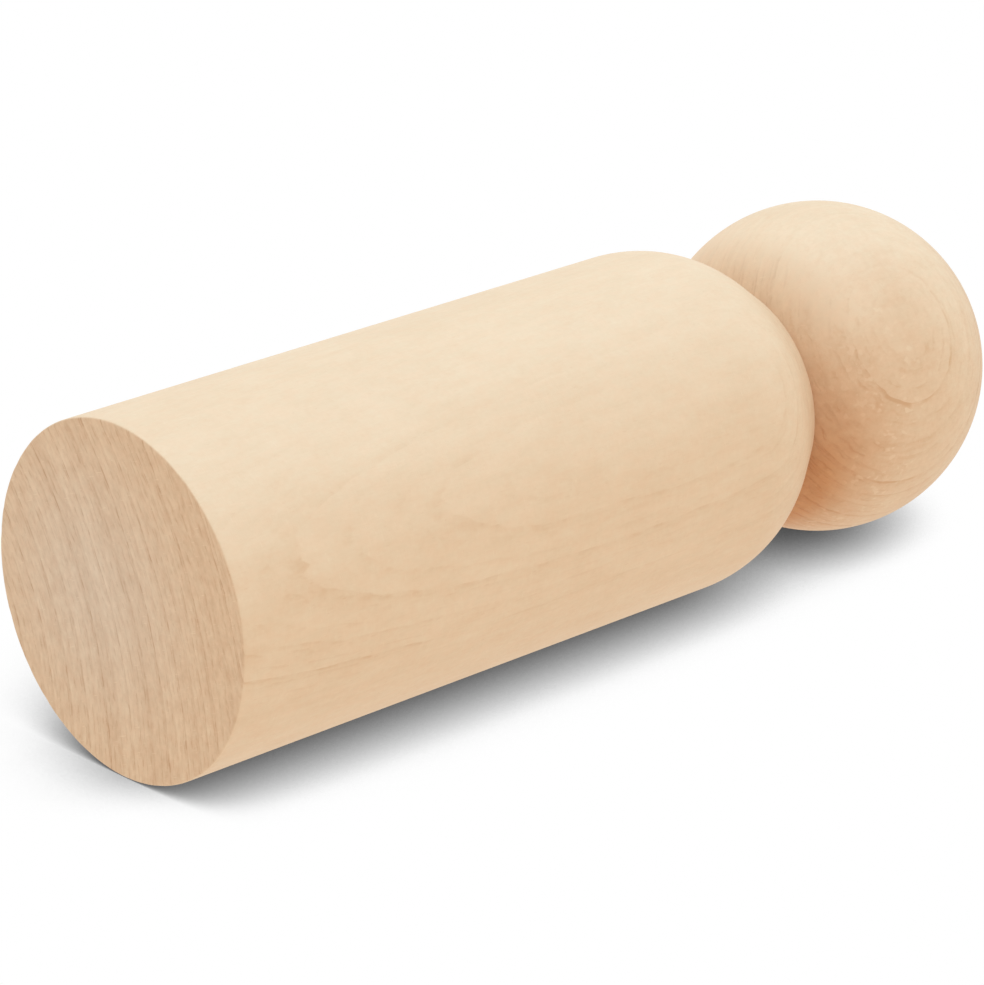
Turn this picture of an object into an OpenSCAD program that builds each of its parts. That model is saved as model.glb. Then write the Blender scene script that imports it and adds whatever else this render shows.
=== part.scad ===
// Peg doll, turned from one length of wood and standing on its flat base.
// Millimetres. +Z runs up the turning axis, and the origin is the centre of the base.

/* [Body] */
// Diameter of the body
body_d = 47.6; // [43:0.1:60]
// Height of the straight part of the body, from the base to the start of the shoulder
straight_h = 92.4; // [40:0.1:160]
// Radius of the slight easing round the edge of the base
base_edge_r = 0.3; // [0.1:0.1:2]

/* [Shoulder] */
// Radius of the rounded edge between the body and the slope of the shoulder
shoulder_r = 20.5; // [5:0.5:21.5]
// Angle between the slope of the shoulder and the axis, in degrees
slope_angle = 37; // [25:1:48]

/* [Neck] */
// Diameter at which the slope of the shoulder and the ball of the head would cross
neck_d = 31.5; // [20:0.1:37]
// Radius that rounds the inner edge of the slope over, down into the crease under the head
lip_r = 1.2; // [0.4:0.1:3]

/* [Head] */
// Diameter of the ball that is the head
head_d = 46.6; // [40:0.1:56]

/* [Hidden] */
$fn = 72;

// Depth by which a curve cuts into its tangent neighbour, so that the two meet in one clean edge
overrun = 0.001;

body_r = body_d / 2;
neck_r = neck_d / 2;
head_r = head_d / 2;

// Centre of the shoulder's rounded edge, and the point where its arc runs out into the slope
shoulder_x = body_r - shoulder_r;
slope_x = shoulder_x + (shoulder_r - overrun) * cos(slope_angle);
slope_z = straight_h + (shoulder_r - overrun) * sin(slope_angle);

// Heights at which the slope and the ball cross, and of the ball's centre
neck_z = slope_z + (slope_x - neck_r) / tan(slope_angle);
head_z = neck_z + sqrt(head_r * head_r - neck_r * neck_r);

// The lip's circle touches the slope from inside, a little below the crossing, so that it still
// cuts into the ball
slope_along = [-sin(slope_angle), cos(slope_angle)];
slope_out = [cos(slope_angle), sin(slope_angle)];
crossing = [neck_r, neck_z];
lip_touch = crossing - 0.8 * lip_r * slope_along;
lip_centre = lip_touch - (lip_r - overrun) * slope_out;

// Straight body, with the eased edge at the base
module body_section() {
    square([body_r - base_edge_r, straight_h]);
    translate([0, base_edge_r])
        square([body_r, straight_h - base_edge_r]);
    translate([body_r - base_edge_r, base_edge_r])
        circle(base_edge_r);
}

// Shoulder: a circle rounds the edge, the slope leaves it at a tangent, and the lip ends the slope
module shoulder_section() {
    translate([shoulder_x, straight_h])
        circle(shoulder_r);
    polygon([
        [-body_r, straight_h], [shoulder_x, straight_h], [slope_x, slope_z], lip_touch, lip_centre, [0, head_z]
    ]);
    translate(lip_centre)
        circle(lip_r);
}

// Ball of the head
module head_section() {
    translate([0, head_z])
        circle(head_r);
}

// The sections are drawn across the axis where that is simpler, and the square cuts them off at it
module peg_doll() {
    color([0.91, 0.79, 0.65])
        rotate_extrude()
            intersection() {
                square([body_r + head_r, head_z + head_r]);
                union() {
                    body_section();
                    shoulder_section();
                    head_section();
                }
            }
}

peg_doll();
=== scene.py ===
"""Peg doll, turned from one piece of pale wood, lying on its side on a white table.

The part stands on its base in the CAD frame, so the table of the photograph is an upright plane
that touches the doll's side. A second plane, level with the base, is the floor of the other views.
"""

import math

import bpy
from mathutils import Matrix, Vector, noise


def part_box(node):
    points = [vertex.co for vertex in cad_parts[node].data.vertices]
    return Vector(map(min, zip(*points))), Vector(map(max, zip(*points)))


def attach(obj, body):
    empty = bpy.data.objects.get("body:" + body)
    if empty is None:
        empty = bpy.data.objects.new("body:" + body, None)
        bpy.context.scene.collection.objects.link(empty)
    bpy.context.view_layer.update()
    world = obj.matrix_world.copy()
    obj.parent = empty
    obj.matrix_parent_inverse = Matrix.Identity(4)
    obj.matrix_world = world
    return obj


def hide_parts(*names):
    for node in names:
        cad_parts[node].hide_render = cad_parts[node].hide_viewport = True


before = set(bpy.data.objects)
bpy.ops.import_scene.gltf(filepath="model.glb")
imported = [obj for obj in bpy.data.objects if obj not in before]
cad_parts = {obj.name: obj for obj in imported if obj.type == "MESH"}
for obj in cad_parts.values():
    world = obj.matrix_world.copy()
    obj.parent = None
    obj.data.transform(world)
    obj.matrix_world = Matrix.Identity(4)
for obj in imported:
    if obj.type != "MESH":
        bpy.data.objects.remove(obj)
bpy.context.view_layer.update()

MM = 0.001
UP = Vector((0.0, 0.0, 1.0))

# Sizes of the doll in mm, as in the CAD model. The body's radius and the top come from its box.
NODE = "peg_doll"
BASE_EDGE_R = 0.3
STRAIGHT_H = 92.4
SHOULDER_R = 20.5
SLOPE_ANGLE = math.radians(37)
NECK_R = 31.5 / 2
LIP_R = 1.2
HEAD_R = 46.6 / 2

BOX_LOW, BOX_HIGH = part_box(NODE)
BODY_R = BOX_HIGH.y / MM
TOP_Z = BOX_HIGH.z / MM
HEAD_Z = TOP_Z - HEAD_R
NECK_Z = HEAD_Z - math.sqrt(HEAD_R ** 2 - NECK_R ** 2)

# The lip rounds the shoulder's slope over, down into the crease under the head. Points are radius
# and height.
SLOPE_ALONG = Vector((-math.sin(SLOPE_ANGLE), math.cos(SLOPE_ANGLE)))
SLOPE_OUT = Vector((math.cos(SLOPE_ANGLE), math.sin(SLOPE_ANGLE)))
LIP_TOUCH = Vector((NECK_R, NECK_Z)) - SLOPE_ALONG * 0.8 * LIP_R
LIP_CENTRE = LIP_TOUCH - SLOPE_OUT * LIP_R


def crossing(first, first_r, second, second_r):
    """The outer point where two circles of the section cross."""
    gap = second - first
    share = (first_r ** 2 - second_r ** 2 + gap.length_squared) / (2 * gap.length_squared)
    side = math.sqrt(first_r ** 2 - share ** 2 * gap.length_squared)
    return first + gap * share + Vector((gap.y, -gap.x)).normalized() * side


HEAD_CENTRE = Vector((0.0, HEAD_Z))
CREASE = crossing(LIP_CENTRE, LIP_R, HEAD_CENTRE, HEAD_R)

# The photograph's up is the table's normal, and CAMERA_SIDE is level with the table, across the doll
TABLE_UP = Vector((1.0, -1.0, 0.0)).normalized()
CAMERA_SIDE = UP.cross(TABLE_UP)

# Camera, in mm
CAMERA_AT = Vector((469.03, 144.34, -347.34))
CAMERA_AIM = Vector((-22.32, -4.61, 81.98))
LENS = 176.18

# Light. The key lamp's level is what a white surface that faces it shows, and its blue makes up for
# the world's warm light.
SKY_ABOVE = (0.95, 0.94, 0.93, 1.0)
SKY_BELOW = (0.91, 0.86, 0.80, 1.0)
KEY_FROM = TABLE_UP * 0.8 - CAMERA_SIDE * 0.1 + UP * 0.4
KEY_LEVEL = 0.25
KEY_COLOUR = (0.66, 1.07, 1.34)

# White sheets: their size and how far the doll stays clear of them
SHEET_SIZE = 8.0
TABLE_GAP = 0.02 * MM
FLOOR_GAP = 0.05 * MM
CONTACT_REACH = 8 * MM
AO_SAMPLES = 12


def new_object(name, data):
    """An object in the scene's collection that holds data."""
    made = bpy.data.objects.new(name, data)
    bpy.context.scene.collection.objects.link(made)
    return made


def facing(forward, up):
    """Rotation that points an object's -Z along forward with its +Y as near up as it can be."""
    back = -forward.normalized()
    right = up.cross(back).normalized()
    return Matrix((right, back.cross(right), back)).transposed().to_quaternion()


def make_camera():
    """Camera at the photograph's viewing angle."""
    camera = new_object("camera", bpy.data.cameras.new("camera"))
    camera.data.sensor_width = 36.0
    camera.data.lens = LENS
    camera.data.clip_start = 0.01
    camera.data.clip_end = 50.0
    camera.location = CAMERA_AT * MM
    camera.rotation_mode = "QUATERNION"
    camera.rotation_quaternion = facing(CAMERA_AIM - CAMERA_AT, TABLE_UP)
    bpy.context.scene.camera = camera


def make_key_lamp(distance, size):
    """Square soft light at distance metres from the doll's middle, facing it, hidden from the camera."""
    lamp = new_object("key", bpy.data.lights.new("key", "AREA"))
    lamp.data.shape = "SQUARE"
    lamp.data.size = size
    lamp.data.energy = math.pi ** 2 * distance ** 2 * KEY_LEVEL
    lamp.data.color = KEY_COLOUR
    middle = (BOX_LOW + BOX_HIGH) / 2
    lamp.location = middle + KEY_FROM.normalized() * distance
    lamp.rotation_mode = "QUATERNION"
    lamp.rotation_quaternion = facing(-KEY_FROM, UP)
    lamp.visible_camera = False


class Graph:
    """Short calls that add nodes to a tree and link them."""

    def __init__(self, tree):
        self.tree = tree
        tree.nodes.clear()

    def add(self, kind, inputs=None, **settings):
        """A node of this kind, with its settings and with values or sockets on its inputs."""
        node = self.tree.nodes.new(kind)
        for name, value in settings.items():
            setattr(node, name, value)
        for key, value in (inputs or {}).items():
            if isinstance(value, bpy.types.NodeSocket):
                self.tree.links.new(value, node.inputs[key])
            else:
                node.inputs[key].default_value = value
        return node

    def math(self, operation, *values, clamp=False):
        """Result of a Math node."""
        inputs = dict(enumerate(values))
        return self.add("ShaderNodeMath", inputs, operation=operation, use_clamp=clamp).outputs[0]

    def product(self, *values):
        """All the values multiplied."""
        total = values[0]
        for value in values[1:]:
            total = self.math("MULTIPLY", total, value)
        return total

    def vector(self, operation, *values, output="Vector"):
        """Result of a Vector Math node."""
        inputs = dict(enumerate(values))
        return self.add("ShaderNodeVectorMath", inputs, operation=operation).outputs[output]

    def scale(self, vector, factor):
        """vector times a number."""
        return self.add("ShaderNodeVectorMath", {0: vector, "Scale": factor}, operation="SCALE").outputs[0]

    def dot(self, vector, direction):
        """How far vector goes along a fixed direction."""
        return self.vector("DOT_PRODUCT", vector, tuple(direction), output="Value")

    def noise(self, point, size=1.0, detail=2.0, roughness=0.5):
        """Smooth noise from 0 to 1 with features about size long."""
        inputs = {"Vector": point, "Scale": 1.0 / size, "Detail": detail, "Roughness": roughness}
        return self.add("ShaderNodeTexNoise", inputs).outputs[0]

    def noise_1d(self, value, detail=0.0):
        """Smooth noise from 0 to 1 along one number."""
        inputs = {"W": value, "Scale": 1.0, "Detail": detail}
        return self.add("ShaderNodeTexNoise", inputs, noise_dimensions="1D").outputs[0]

    def remap(self, value, low, high, to_low=0.0, to_high=1.0, smooth=True):
        """value from low..high to to_low..to_high, held at the ends."""
        inputs = {"Value": value, "From Min": low, "From Max": high, "To Min": to_low, "To Max": to_high}
        kind = "SMOOTHSTEP" if smooth else "LINEAR"
        return self.add("ShaderNodeMapRange", inputs, interpolation_type=kind).outputs[0]

    def blend(self, amount, first, second, way="MIX"):
        """Colour that goes from first to second, or with the way MULTIPLY to first times second."""
        inputs = {0: amount, 6: first, 7: second}
        return self.add("ShaderNodeMix", inputs, data_type="RGBA", blend_type=way).outputs[2]


def colour(red, green, blue):
    """Colour from 0 to 255 levels as a screen shows them."""
    levels = [level / 255 for level in (red, green, blue)]
    linear = [v / 12.92 if v <= 0.04045 else ((v + 0.055) / 1.055) ** 2.4 for v in levels]
    return (*linear, 1.0)


def make_world():
    """Light from all round, from one colour above the table to another below, with white for the camera."""
    world = bpy.data.worlds.new("studio")
    bpy.context.scene.world = world
    world.use_nodes = True
    graph = Graph(world.node_tree)
    way = graph.add("ShaderNodeTexCoord").outputs["Generated"]
    height = graph.remap(graph.dot(way, TABLE_UP), -1.0, 1.0, smooth=False)
    light = graph.add("ShaderNodeBackground", {"Color": graph.blend(height, SKY_BELOW, SKY_ABOVE)})
    white = graph.add("ShaderNodeBackground", {"Color": (1.0, 1.0, 1.0, 1.0)})
    seen = graph.add("ShaderNodeLightPath").outputs["Is Camera Ray"]
    mixed = graph.add("ShaderNodeMixShader", {0: seen, 1: light.outputs[0], 2: white.outputs[0]})
    graph.add("ShaderNodeOutputWorld", {"Surface": mixed.outputs[0]})


def open_sky(graph, lean, reach=0.3):
    """Share of the sky round the direction lean that nothing within reach, in metres, covers."""
    toward = graph.add("ShaderNodeCombineXYZ", dict(zip("XYZ", lean.normalized()))).outputs[0]
    inputs = {"Distance": reach, "Normal": toward}
    return graph.add("ShaderNodeAmbientOcclusion", inputs, samples=AO_SAMPLES).outputs["AO"]


def make_ground_material(name, leans, gain, least, contact=None):
    """White sheet that keeps only the soft shadow of what stands near it, seen only from its front.

    Its level is the open sky round each of the leans, all multiplied, times gain plus least, and
    anything from 1 up is plain white. It is a little darker where the doll is within CONTACT_REACH
    in the direction contact.
    """
    material = bpy.data.materials.new(name)
    material.use_nodes = True
    graph = Graph(material.node_tree)
    level = gain
    for lean in leans:
        level = graph.math("MULTIPLY", open_sky(graph, lean), level)
    level = graph.math("ADD", level, least)
    if contact:
        near = graph.remap(open_sky(graph, contact, CONTACT_REACH), 0.0, 1.0, 0.8, 1.0, smooth=False)
        level = graph.math("MULTIPLY", level, near)
    level = graph.math("SMOOTH_MIN", level, 1.0, 0.12)
    sheet = graph.add("ShaderNodeEmission", {"Color": (1.0, 1.0, 1.0, 1.0), "Strength": level})
    clear = graph.add("ShaderNodeBsdfTransparent")
    back = graph.add("ShaderNodeNewGeometry").outputs["Backfacing"]
    mixed = graph.add("ShaderNodeMixShader", {0: back, 1: sheet.outputs[0], 2: clear.outputs[0]})
    graph.add("ShaderNodeOutputMaterial", {"Surface": mixed.outputs[0]})
    return material


def make_ground(name, place, normal, material):
    """Square white sheet, facing normal. Only the camera sees it, so it takes no light from the doll."""
    side = normal.orthogonal().normalized()
    other = normal.cross(side)
    corners = [place + side * a * SHEET_SIZE / 2 + other * b * SHEET_SIZE / 2
               for a, b in ((-1, -1), (1, -1), (1, 1), (-1, 1))]
    mesh = bpy.data.meshes.new(name)
    mesh.from_pydata(corners, [], [(0, 1, 2, 3)])
    mesh.materials.append(material)
    sheet = new_object(name, mesh)
    sheet.visible_diffuse = False
    sheet.visible_glossy = False
    sheet.visible_transmission = False
    sheet.visible_shadow = False


# Wood, with lengths in mm. RING_OUT points away from the pith of the trunk at the doll's foot, across
# the doll, and the pith drifts sideways by PITH_DRIFT for each mm up the doll.
PITH_DISTANCE = 69.0
PITH_DRIFT = 0.09
RING_TURN = math.radians(19.5)
RING_OUT = CAMERA_SIDE * math.cos(RING_TURN) + TABLE_UP * math.sin(RING_TURN)
RING_ALONG = UP.cross(RING_OUT)
RING_WIDTH = 2.2
RING_SHIFT = 0.75
BULGE_Z = 60.0

# Middle of the pale heart on the cut end, and the warm colour of painted shade that the wood is multiplied
# by
END_HEART = TABLE_UP * 1.0 - CAMERA_SIDE * 6.0
NECK_SHADE_TINT = (0.78, 0.5, 0.3, 1.0)


class Wood(Graph):
    """Nodes of the wood, with the places in mm and the patterns that its colour and relief share."""

    def __init__(self, tree):
        super().__init__(tree)
        coordinates = self.add("ShaderNodeTexCoord")
        self.normal = coordinates.outputs["Normal"]
        self.point = self.scale(coordinates.outputs["Object"], 1 / MM)
        self.height = self.dot(self.point, UP)
        # From 1 at the body's side that is up from the table to -1 at the side that lies on it
        self.across = self.math("DIVIDE", self.dot(self.point, TABLE_UP), BODY_R)
        self.on_head = self.remap(self.height, CREASE.y - 0.02, CREASE.y + 0.02)
        self.near_neck = self.remap(self.height, NECK_Z + 15.0, NECK_Z + 3.0)
        self.enter_trunk()

        self.line, self.shade, finer = self.late_wood()
        dashes = self.remap(self.in_rings(0.8, 2.2, 5.0, roughness=0.65), 0.44, 0.64, 0.1, 1.0)
        finer_dashes = self.remap(self.in_rings(0.5, 1.8, 4.0, roughness=0.6), 0.46, 0.6)
        self.dashed = self.product(self.line, dashes)
        self.finer_dashed = self.product(finer, finer_dashes)
        self.streak = self.in_rings(0.65, 1.8, 14.0)
        self.band = self.noise_1d(self.math("DIVIDE", self.distance, 4.5), detail=1.0)
        self.fibre = self.in_grain(0.25, 1.6, detail=2.0, roughness=0.6)
        self.speckle = self.noise(self.point, 0.7)
        self.mottle = self.in_grain(3.2, 6.0, detail=3.0, roughness=0.6)
        # Sanding while the doll turns leaves faint lines round it
        self.sanding = self.noise(self.vector("DIVIDE", self.point, (5.0, 5.0, 0.14)))
        self.strand = self.torn_grain()
        blotch = self.noise(self.point, 1.1, detail=4.0, roughness=0.7)
        self.rough_head = self.product(self.math("SUBTRACT", blotch, 0.5), self.on_head)

    def in_grain(self, across, along, detail, roughness=0.5):
        """Noise with features of these sizes over the grain and along it."""
        return self.noise(self.vector("DIVIDE", self.point, (across, across, along)), 1.0, detail, roughness)

    def in_rings(self, out, along, up, detail=2.0, roughness=0.5):
        """Noise with features of these sizes out from the pith, along the rings and up the grain."""
        return self.noise(self.vector("DIVIDE", self.ring_point, (out, along, up)), 1.0, detail, roughness)

    def tone(self, start, *layers):
        """start plus each layer's value less its middle, times its strength, held between 0 and 1."""
        total = start
        for value, middle, strength in layers:
            layer = self.math("MULTIPLY", self.math("SUBTRACT", value, middle), strength)
            total = self.math("ADD", layer, total)
        return self.math("ADD", total, 0.0, clamp=True)

    def enter_trunk(self):
        """Set the distance from the pith, the place in the rings and the direction in which they grow."""
        flat = self.vector("MULTIPLY", self.point, (1.0, 1.0, 0.0))
        drift = self.scale(tuple(RING_ALONG * -PITH_DRIFT), self.height)
        from_pith = self.vector("ADD", self.vector("ADD", flat, drift), tuple(RING_OUT * PITH_DISTANCE))
        distance = self.vector("LENGTH", from_pith, output="Value")
        self.growth_way = self.vector("NORMALIZE", from_pith)
        # The trunk bulges at BULGE_Z and bends away past it, which closes the rings into long ovals on
        # the body and small ones on the head
        below = self.math("MAXIMUM", self.math("SUBTRACT", BULGE_Z, self.height), 0.0)
        above = self.math("MAXIMUM", self.math("SUBTRACT", self.height, BULGE_Z), 0.0)
        distance = self.math("MULTIPLY_ADD", self.math("POWER", below, 1.5), -0.0056, distance)
        distance = self.math("MULTIPLY_ADD", self.math("POWER", above, 3.5), -1.58e-6, distance)
        slow = self.in_grain(14.0, 45.0, detail=1.0)
        fine = self.in_grain(1.6, 8.0, detail=1.0)
        distance = self.math("MULTIPLY_ADD", slow, 0.9, distance)
        self.distance = self.math("MULTIPLY_ADD", fine, 0.3, distance)
        inputs = {"X": self.distance, "Y": self.dot(self.point, RING_ALONG), "Z": self.height}
        self.ring_point = self.add("ShaderNodeCombineXYZ", inputs).outputs[0]

    def late_wood(self):
        """Thin dark line and softer shade at the end of each year's growth, and finer lines between.

        Each goes from 0 to 1, and the shade below 0 in the pale wood with which a year begins.
        """
        growth = self.noise_1d(self.math("DIVIDE", self.distance, 7.0))
        shifted = self.math("ADD", self.distance, RING_SHIFT)
        rings = self.math("MULTIPLY_ADD", growth, 2.0, self.math("DIVIDE", shifted, RING_WIDTH))
        part = self.math("FRACT", rings)
        # Some years end in a darker line than others
        year = self.math("SUBTRACT", self.math("FLOOR", rings), 40.0)
        strength = self.remap(self.math("COSINE", self.math("MULTIPLY", year, 2.6)), -1.0, 1.0, 0.35, 1.0)
        end_of_year = self.remap(part, 1.0, 0.97)
        line = self.product(self.remap(part, 0.8, 0.94), end_of_year)
        shade = self.product(self.remap(part, 0.45, 0.94), end_of_year)
        early = self.product(self.remap(part, 0.28, 0.08), self.remap(part, 0.0, 0.05))
        shade = self.math("SUBTRACT", shade, self.math("MULTIPLY", early, 0.4))
        part = self.math("FRACT", self.math("MULTIPLY", part, 2.5))
        finer = self.product(self.remap(part, 0.6, 0.92), self.remap(part, 1.0, 0.93))
        return self.product(line, strength), self.product(shade, strength), finer

    def torn_grain(self):
        """Dark strands of torn and pressed grain on the head, by the neck."""
        wander = self.math("MULTIPLY_ADD", self.noise(self.point, 2.2), 1.3, self.distance)
        part = self.math("FRACT", self.math("DIVIDE", wander, 1.2))
        torn = self.product(self.remap(part, 0.55, 0.85), self.remap(part, 1.0, 0.88))
        broken = self.remap(self.in_rings(1.2, 2.5, 2.5, detail=1.0), 0.46, 0.66)
        return self.product(torn, broken, self.near_neck, self.on_head,
                            self.remap(self.across, 0.75, 0.25, 0.35, 1.0))

    def side_tone(self):
        """How dark the long grain is, from 0 to 1, with painted light on the head by the neck."""
        # Rings show most where the surface lies along them, near the foot, and on the head
        lying = self.vector("DOT_PRODUCT", self.normal, self.growth_way, output="Value")
        flat = self.remap(self.math("ABSOLUTE", lying), 0.74, 0.93, 0.1, 1.0)
        flat = self.math("MAXIMUM", flat, self.math("MULTIPLY", self.on_head, 0.85))
        flat = self.product(flat, self.remap(self.across, 0.85, 0.25, 0.25, 1.0))
        clear = self.remap(self.height, 12.0, 45.0, 1.0, 0.6)
        clear = self.math("MAXIMUM", clear, self.math("MULTIPLY", self.on_head, 1.25))
        mark = self.product(self.line, self.remap(self.in_rings(2.5, 3.0, 4.0, detail=1.0), 0.57, 0.67))

        cloud = self.in_grain(11.0, 24.0, detail=1.0)
        pore = self.remap(self.in_grain(0.3, 1.1, detail=1.0), 0.68, 0.8)
        tick = self.noise(self.vector("DIVIDE", self.point, (1.3, 1.3, 0.2)), detail=1.0)
        tick = self.remap(tick, 0.66, 0.78)
        patch = self.remap(self.noise(self.point, 4.5), 0.4, 0.6)
        fleck = self.product(self.remap(self.in_rings(0.8, 1.2, 1.2, detail=1.0), 0.59, 0.67),
                             self.on_head, patch,
                             self.remap(self.height, NECK_Z + 18.0, NECK_Z + 8.0, 0.1, 1.0),
                             self.remap(self.across, 0.75, 0.55))
        # Painted light: the head by the neck is lighter where it is turned up from the table, where light
        # falls past the crease
        painted_neck_light = self.product(self.near_neck, self.on_head, self.remap(self.across, 0.3, 0.65))

        return self.tone(0.35,
                         (self.product(self.dashed, flat, clear), 0.05, 0.38),
                         (self.product(self.finer_dashed, flat, clear), 0.02, 0.2),
                         (self.product(self.shade, flat, clear), 0.1, 0.12),
                         (self.streak, 0.5, 0.25),
                         (self.band, 0.5, 0.12),
                         (self.fibre, 0.5, 0.15),
                         (self.speckle, 0.5, 0.28),
                         (self.mottle, 0.5, 0.45),
                         (cloud, 0.5, 0.3),
                         (pore, 0.0, 0.2),
                         (self.sanding, 0.5, 0.08),
                         (tick, 0.0, -0.14),
                         (self.strand, 0.0, 0.6),
                         (fleck, 0.0, -0.5),
                         (self.rough_head, 0.0, 0.6),
                         (self.product(mark, flat, clear), 0.0, 0.35),
                         (painted_neck_light, 0.0, -0.45))

    def end_tone(self):
        """How dark the cut end of the grain is, from 0 to 1."""
        ray = self.remap(self.in_rings(1.6, 0.17, 0.5, detail=1.0), 0.66, 0.78)
        return self.tone(0.42,
                         (self.dashed, 0.1, 0.48),
                         (self.finer_dashed, 0.1, 0.3),
                         (self.shade, 0.15, 0.13),
                         (self.streak, 0.5, 0.7),
                         (self.speckle, 0.5, 0.25),
                         (self.band, 0.5, 0.3),
                         (self.mottle, 0.5, 0.5),
                         (ray, 0.0, -0.3))

    def painted_neck_shade(self):
        """Painted shade and warm bounced light, from 0 to 1: most in the crease by the neck, turned to the
        table.
        """
        off_head = self.math("SUBTRACT", 1.0, self.on_head)
        head_end = self.product(self.on_head, self.remap(self.height, NECK_Z + 14.0, NECK_Z))
        body_end = self.product(off_head, self.remap(self.height, NECK_Z - 14.0, NECK_Z, 0.0, 0.4))
        by_neck = self.product(self.math("ADD", head_end, body_end),
                               self.remap(self.across, 0.75, -0.3, 0.0, 0.64))
        cheek = self.product(self.on_head,
                             self.remap(self.height, NECK_Z + 24.0, NECK_Z + 14.0, 0.0, 0.15),
                             self.remap(self.across, 0.95, 0.7))
        under = self.product(self.on_head, self.remap(self.height, NECK_Z + 7.0, NECK_Z + 1.0),
                             self.remap(self.across, 0.1, -0.6, 0.0, 0.38))
        return self.math("ADD", self.math("ADD", by_neck, cheek), under, clamp=True)

    def surface_colour(self):
        """Colour of the wood, on its sides and its cut end, with painted light and shade."""
        # Painted light: the wood is paler and creamier on the side turned up from the table, where light
        # falls
        painted_top_light = self.remap(self.across, 0.0, 0.85)
        side_pale = self.blend(painted_top_light, colour(238, 210, 176), colour(242, 218, 188))
        side_dark = self.blend(painted_top_light, colour(218, 178, 137), colour(226, 194, 158))
        # The end has a pale greyish heart in a warmer rim
        from_heart = self.vector("DISTANCE", self.point, tuple(END_HEART), output="Value")
        rim = self.remap(from_heart, 0.0, 28.0)
        end_pale = self.blend(rim, colour(228, 205, 179), colour(231, 200, 165))
        end_dark = self.blend(rim, colour(193, 161, 132), colour(194, 152, 114))
        side_colour = self.blend(self.side_tone(), side_pale, side_dark)
        end_colour = self.blend(self.end_tone(), end_pale, end_dark)
        is_end = self.remap(self.math("ABSOLUTE", self.dot(self.normal, UP)), 0.3, 1.0)
        bare = self.blend(is_end, side_colour, end_colour)
        # Painted shade, warm and dark, in the crease by the neck and under the head
        with_painted_shade = self.blend(self.painted_neck_shade(), bare, NECK_SHADE_TINT, "MULTIPLY")
        # Slight drift of hue, from pinkish to greenish
        hue = self.remap(self.in_grain(1.4, 2.6, detail=2.0, roughness=0.6), 0.3, 0.7)
        drift = self.blend(hue, (1.0, 0.985, 0.975, 1.0), (0.985, 1.0, 1.0, 1.0))
        return self.blend(1.0, with_painted_shade, drift, "MULTIPLY")

    def relief(self):
        """Height of the surface, from 0 to 1."""
        return self.tone(0.6,
                         (self.fibre, 0.5, 0.25),
                         (self.streak, 0.5, 0.5),
                         (self.speckle, 0.5, 0.2),
                         (self.sanding, 0.5, 0.1),
                         (self.strand, 0.0, -0.6),
                         (self.dashed, 0.0, -0.25),
                         (self.rough_head, 0.0, 0.3))


def make_wood():
    """Pale close-grained wood, cut from a bigger trunk, with its rings through the whole doll."""
    material = bpy.data.materials.new("bare_wood")
    material.use_nodes = True
    wood = Wood(material.node_tree)
    inputs = {"Strength": 0.7, "Distance": 0.1 * MM, "Height": wood.relief()}
    bump = wood.add("ShaderNodeBump", inputs)
    shader = wood.add("ShaderNodeBsdfPrincipled", {
        "Base Color": wood.surface_colour(),
        "Roughness": wood.remap(wood.fibre, 0.3, 0.7, 0.52, 0.66),
        "Normal": bump.outputs[0],
        "Specular IOR Level": 0.5,
    })
    wood.add("ShaderNodeOutputMaterial", {"Surface": shader.outputs[0]})
    return material


# Spacing of the mesh's rows in mm, and how many faces go round the doll
STEP = 0.55
FINE_STEP = 0.1
SEGMENTS = 256

# Where the flat map is slit, away from the camera, and the map's width and margin in mm
SEAM_ANGLE = math.atan2(-CAMERA_AT.y, -CAMERA_AT.x)
MAP_SIZE = 205.0
MAP_MARGIN = 2.0

# Anything nearer than this to the base's plane or to the axis lies on it, in metres
ON_IT = 1e-7


def arc(centre, radius, start, end, step=STEP):
    """Points along an arc of the section, without its first one."""
    count = max(2, round(abs(end - start) * radius / step))
    angles = [start + (end - start) * (i + 1) / count for i in range(count)]
    return [(centre[0] + radius * math.cos(a), centre[1] + radius * math.sin(a)) for a in angles]


def line(start, end):
    """Points along a straight part of the section, without its first one."""
    count = max(1, round(math.dist(start, end) / STEP))
    shares = [(i + 1) / count for i in range(count)]
    return [(start[0] + (end[0] - start[0]) * s, start[1] + (end[1] - start[1]) * s) for s in shares]


def side_section():
    """Points of radius and height from the rim of the flat base to just short of the top of the head."""
    rim = BODY_R - BASE_EDGE_R
    slope_start = Vector((BODY_R - SHOULDER_R, STRAIGHT_H)) + SLOPE_OUT * SHOULDER_R
    from_lip = CREASE - LIP_CENTRE
    from_head = CREASE - HEAD_CENTRE
    points = [(rim, 0.0)]
    points += arc((rim, BASE_EDGE_R), BASE_EDGE_R, -math.pi / 2, 0.0, FINE_STEP)
    points += line((BODY_R, BASE_EDGE_R), (BODY_R, STRAIGHT_H))
    points += arc((BODY_R - SHOULDER_R, STRAIGHT_H), SHOULDER_R, 0.0, SLOPE_ANGLE)
    points += line(slope_start, LIP_TOUCH)
    points += arc(LIP_CENTRE, LIP_R, SLOPE_ANGLE, math.atan2(from_lip.y, from_lip.x), FINE_STEP)
    points += arc(HEAD_CENTRE, HEAD_R, math.atan2(from_head.y, from_head.x), math.pi / 2)
    return points[:-1]


def rim_wear(angle):
    """How far the rim of the base is worn in, in mm, at this angle round the doll."""
    coarse = noise.noise(Vector((math.cos(angle), math.sin(angle), 0.0)) * BODY_R / 3.0)
    fine = noise.noise(Vector((math.cos(angle), math.sin(angle), 2.0)) * BODY_R / 1.1)
    return 0.12 * max(0.0, coarse + 0.8 * fine)


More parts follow.
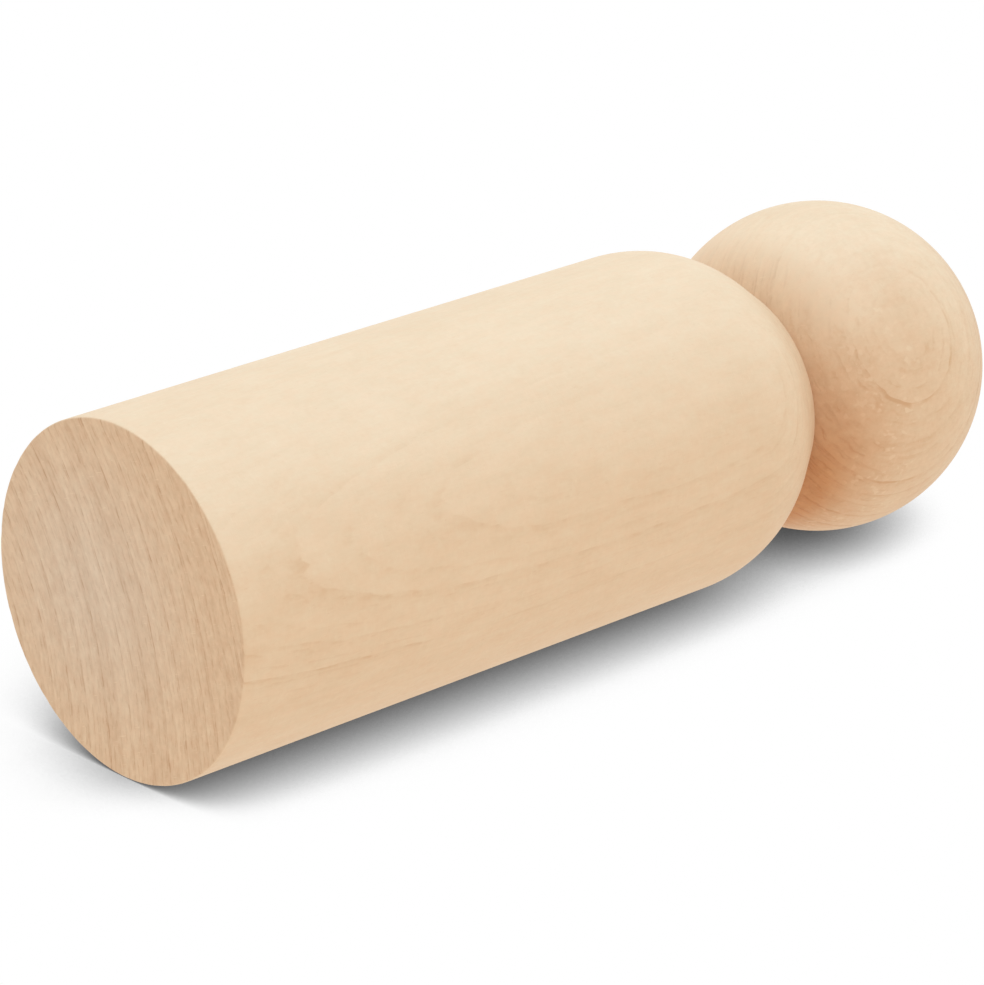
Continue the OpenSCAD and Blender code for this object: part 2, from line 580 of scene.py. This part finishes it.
def unwrap(mesh, path):
    """Flat map of the doll: its side as one strip, slit down the back, and its base as a disc beside it.

    path is the length along the section from the base's rim, in mm, of each vertex.
    """
    layer = mesh.uv_layers.new(name="OFBake")
    strip_width = math.tau * BODY_R
    disc = Vector((strip_width + BODY_R + MAP_MARGIN, BODY_R + MAP_MARGIN))
    for polygon in mesh.polygons:
        corners = [mesh.vertices[mesh.loops[i].vertex_index] for i in polygon.loop_indices]
        centre = polygon.center
        for i, corner in zip(polygon.loop_indices, corners):
            if centre.z < ON_IT:
                place = Vector((corner.co.x, corner.co.y)) / MM + disc
            else:
                around = centre if corner.co.xy.length < ON_IT else corner.co
                turn = math.atan2(around.y, around.x) - SEAM_ANGLE
                middle = (math.atan2(centre.y, centre.x) - SEAM_ANGLE) % math.tau
                turn += math.tau * round((middle - turn) / math.tau)
                place = Vector((turn * BODY_R, path[corner.index]))
            layer.data[i].uv = (place + Vector((MAP_MARGIN, MAP_MARGIN))) / MAP_SIZE


def turned_mesh(name, base, side):
    """Closed mesh with a row of vertices for each point of base and side, and a vertex at each pole."""
    vertices = [Vector((0.0, 0.0, 0.0))]
    wear = [0.0] * len(base) + [max(0.0, 1 - height / BASE_EDGE_R) for _, height in side]
    for (radius, height), share in zip(base + side, wear):
        for i in range(SEGMENTS):
            angle = SEAM_ANGLE + math.tau * i / SEGMENTS
            worn = radius - rim_wear(angle) * share
            vertices.append(Vector((worn * math.cos(angle), worn * math.sin(angle), height)) * MM)
    vertices.append(Vector((0.0, 0.0, TOP_Z)) * MM)

    top = len(vertices) - 1
    last = top - SEGMENTS
    faces = [(0, 1 + (i + 1) % SEGMENTS, 1 + i) for i in range(SEGMENTS)]
    for first in range(1, last, SEGMENTS):
        for i in range(SEGMENTS):
            j = (i + 1) % SEGMENTS
            faces.append((first + i, first + j, first + SEGMENTS + j, first + SEGMENTS + i))
    faces += [(last + i, last + (i + 1) % SEGMENTS, top) for i in range(SEGMENTS)]
    mesh = bpy.data.meshes.new(name)
    mesh.from_pydata(vertices, [], faces)
    return mesh


def make_doll():
    """The doll as one closed mesh, turned from its section."""
    side = side_section()
    base_rim = side[0][0]
    base_count = round(base_rim / STEP)
    base = [(base_rim * i / base_count, 0.0) for i in range(1, base_count)]
    mesh = turned_mesh("turned_doll", base, side)
    mesh.shade_smooth()
    mesh.set_sharp_from_angle(angle=math.radians(35))
    mesh.materials.append(make_wood())

    lengths = [0.0] * (len(base) + 1)
    for start, end in zip(side, side[1:] + [(0.0, TOP_Z)]):
        lengths.append(lengths[-1] + math.dist(start, end))
    path = [0.0] + [length for length in lengths[:-1] for _ in range(SEGMENTS)] + lengths[-1:]
    unwrap(mesh, path)
    doll = new_object("turned_doll", mesh)
    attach(doll, "root")
    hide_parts(NODE)


bpy.context.scene.view_settings.view_transform = "Standard"
make_camera()
make_world()
make_key_lamp(1.5, 1.2)
leans = [TABLE_UP + CAMERA_SIDE * 0.2 + UP * 0.6, TABLE_UP + CAMERA_SIDE - UP * 0.9]
table = make_ground_material("table", leans, 2.3, 0.0, contact=TABLE_UP)
floor = make_ground_material("floor", [UP], 0.75, 0.35)
make_ground("table", -TABLE_UP * (BODY_R * MM + TABLE_GAP), TABLE_UP, table)
make_ground("floor", UP * -FLOOR_GAP, UP, floor)
make_doll()
